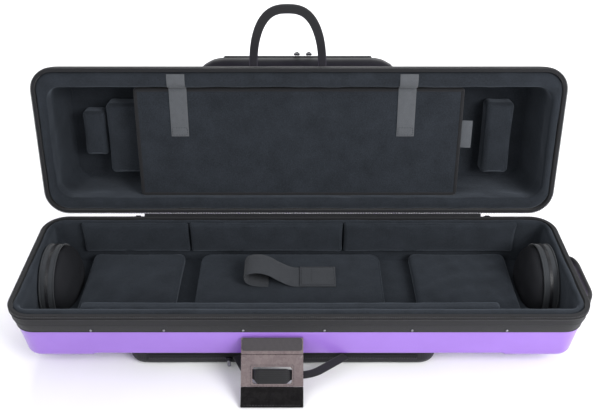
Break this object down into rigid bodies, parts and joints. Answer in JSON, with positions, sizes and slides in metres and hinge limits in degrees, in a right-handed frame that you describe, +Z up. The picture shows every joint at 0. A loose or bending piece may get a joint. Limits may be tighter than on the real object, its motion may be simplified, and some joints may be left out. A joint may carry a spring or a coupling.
{
  "type": "trombone case",
  "caption": "Long zipped instrument case with a moulded shell, plush-lined tray and lid, straps, pouches and handles, standing open",
  "frame": {"origin": "on the base pocket's resting face, under the middle of the tray", "axes": "X along the case, Y from its front to its hinge, Z up"},
  "size_m": [0.9438, 0.5223, 0.4774],
  "materials": {
    "moulded_shell": "smooth satin violet moulding",
    "plush": "short charcoal plush",
    "nylon_cloth": "plain-woven black nylon",
    "black_webbing": "ribbed black webbing",
    "grey_webbing": "grey loop tape",
    "pouch_mesh": "dark grey spacer mesh",
    "grey_tape": "grey zip tape",
    "leather": "smooth black leather",
    "bright_metal": "nickel-bright metal",
    "dark_metal": "black enamelled zip metal"
  },
  "bodies": {
    "tray": {"tray_shell": "moulded_shell", "tray_band": "nylon_cloth", "tray_zip": "nylon_cloth", "tray_lining": "plush", "back_pad_left": "plush", "back_pad_middle": "plush", "back_pad_right": "plush", "front_pad": "plush", "floor_block_left": "plush", "floor_block_right": "plush", "accessory_box": "plush", "tab_left": "grey_webbing", "tab_right": "grey_webbing", "pouch_left": "pouch_mesh", "pouch_right": "pouch_mesh", "pouch_ring_left": "grey_tape", "pouch_ring_right": "grey_tape", "tray_rivet_1": "bright_metal", "tray_rivet_2": "bright_metal", "tray_rivet_3": "bright_metal", "tray_rivet_4": "bright_metal", "tray_rivet_5": "bright_metal", "tray_rivet_6": "bright_metal", "hinge_welt": "nylon_cloth", "base_pocket": "nylon_cloth", "base_pocket_zip": "nylon_cloth"},
    "lid": {"lid_shell": "moulded_shell", "lid_band": "nylon_cloth", "lid_zip": "nylon_cloth", "lid_lining": "plush", "lid_block_small": "plush", "lid_block_large": "plush", "lid_block_right": "plush", "lid_pocket": "nylon_cloth", "lid_pocket_zip": "nylon_cloth"},
    "panel": {"lid_panel": "plush", "lid_strap_left": "grey_webbing", "lid_strap_right": "grey_webbing", "lid_tab": "grey_webbing"},
    "flap": {"accessory_flap": "plush", "holding_strap": "grey_webbing", "strap_patch": "grey_webbing"},
    "carry_handle": {"lid_handle": "black_webbing"},
    "wrapped_handle": {"tray_handle": "black_webbing", "wrap_middle": "leather"},
    "wrap_top_leaf": {"wrap_upper": "leather", "wrap_hook_strip": "black_webbing"},
    "wrap_low_leaf": {"wrap_lower": "leather"},
    "side_handle": {"end_handle": "black_webbing"},
    "main_left_zip_slider": {"main_left_slider": "dark_metal"},
    "main_left_zip_pull": {"main_left_pull": "dark_metal"},
    "main_right_zip_slider": {"main_right_slider": "dark_metal"},
    "main_right_zip_pull": {"main_right_pull": "dark_metal"},
    "base_pocket_zip_slider": {"base_pocket_slider": "dark_metal"},
    "base_pocket_zip_pull": {"base_pocket_pull": "bright_metal"},
    "lid_pocket_left_zip_slider": {"lid_pocket_left_slider": "dark_metal"},
    "lid_pocket_left_zip_pull": {"lid_pocket_left_pull": "dark_metal"},
    "lid_pocket_right_zip_slider": {"lid_pocket_right_slider": "dark_metal"},
    "lid_pocket_right_zip_pull": {"lid_pocket_right_pull": "dark_metal"}
  },
  "joints": [
    {"name": "lid_hinge", "type": "hinge", "parent": "tray", "child": "lid", "pos_m": [0.025, 0.1363, 0.13], "axis": [-1, 0, 0], "range_deg": [-101.3, 0]},
    {"name": "panel_hinge", "type": "hinge", "parent": "lid", "child": "panel", "pos_m": [0, 0.16475, 0.16011], "axis": [1, 0, 0], "range_deg": [0, 80]},
    {"name": "flap_hinge", "type": "hinge", "parent": "tray", "child": "flap", "pos_m": [-0.0155, -0.0877, 0.0666], "axis": [1, 0, 0], "range_deg": [0, 90]},
    {"name": "carry_handle_fold", "type": "hinge", "parent": "lid", "child": "carry_handle", "pos_m": [-0.01947, 0.24605, 0.37302], "axis": [1, 0, 0], "range_deg": [-70, 70]},
    {"name": "wrapped_handle_swing", "type": "hinge", "parent": "tray", "child": "wrapped_handle", "pos_m": [-0.01197, -0.11823, 0.02977], "axis": [1, 0, 0], "range_deg": [0, 60]},
    {"name": "wrap_top_fold", "type": "hinge", "parent": "wrapped_handle", "child": "wrap_top_leaf", "pos_m": [-0.04197, -0.14408, 0.06038], "axis": [1, 0, 0], "range_deg": [0, 80]},
    {"name": "wrap_low_fold", "type": "hinge", "parent": "wrapped_handle", "child": "wrap_low_leaf", "pos_m": [-0.04197, -0.17774, 0.023], "axis": [-1, 0, 0], "range_deg": [0, 80]},
    {"name": "side_handle_fold", "type": "hinge", "parent": "tray", "child": "side_handle", "pos_m": [0.4528, 0, 0.088], "axis": [0, 1, 0], "range_deg": [-45, 45]},
    {"name": "main_left_zip_travel", "type": "slide", "parent": "tray", "child": "main_left_zip_slider", "axis": [1, 0, 0], "range_m": [-0.1, 0]},
    {"name": "main_left_pull_swing", "type": "hinge", "parent": "main_left_zip_slider", "child": "main_left_zip_pull", "pos_m": [-0.292, 0.1385, 0.1255], "axis": [1, 0, 0], "range_deg": [0, 75]},
    {"name": "main_right_zip_travel", "type": "slide", "parent": "tray", "child": "main_right_zip_slider", "axis": [1, 0, 0], "range_m": [0, 0.055]},
    {"name": "main_right_pull_swing", "type": "hinge", "parent": "main_right_zip_slider", "child": "main_right_zip_pull", "pos_m": [0.342, 0.1385, 0.1255], "axis": [1, 0, 0], "range_deg": [0, 75]},
    {"name": "base_pocket_zip_travel", "type": "slide", "parent": "tray", "child": "base_pocket_zip_slider", "axis": [1, 0, 0], "range_m": [-0.11, 0]},
    {"name": "base_pocket_pull_swing", "type": "hinge", "parent": "base_pocket_zip_slider", "child": "base_pocket_zip_pull", "pos_m": [-0.11401, -0.1194, 0.0198], "axis": [-1, 0, 0], "range_deg": [0, 90]},
    {"name": "lid_pocket_left_zip_travel", "type": "slide", "parent": "lid", "child": "lid_pocket_left_zip_slider", "axis": [1, 0, 0], "range_m": [-0.12, 0]},
    {"name": "lid_pocket_left_pull_swing", "type": "hinge", "parent": "lid_pocket_left_zip_slider", "child": "lid_pocket_left_zip_pull", "pos_m": [-0.00397, 0.32045, 0.36619], "axis": [-1, 0, 0], "range_deg": [0, 90]},
    {"name": "lid_pocket_right_zip_travel", "type": "slide", "parent": "lid", "child": "lid_pocket_right_zip_slider", "axis": [1, 0, 0], "range_m": [0, 0.1]},
    {"name": "lid_pocket_right_pull_swing", "type": "hinge", "parent": "lid_pocket_right_zip_slider", "child": "lid_pocket_right_zip_pull", "pos_m": [0.01803, 0.32045, 0.36619], "axis": [-1, 0, 0], "range_deg": [0, 90]}
  ]
}
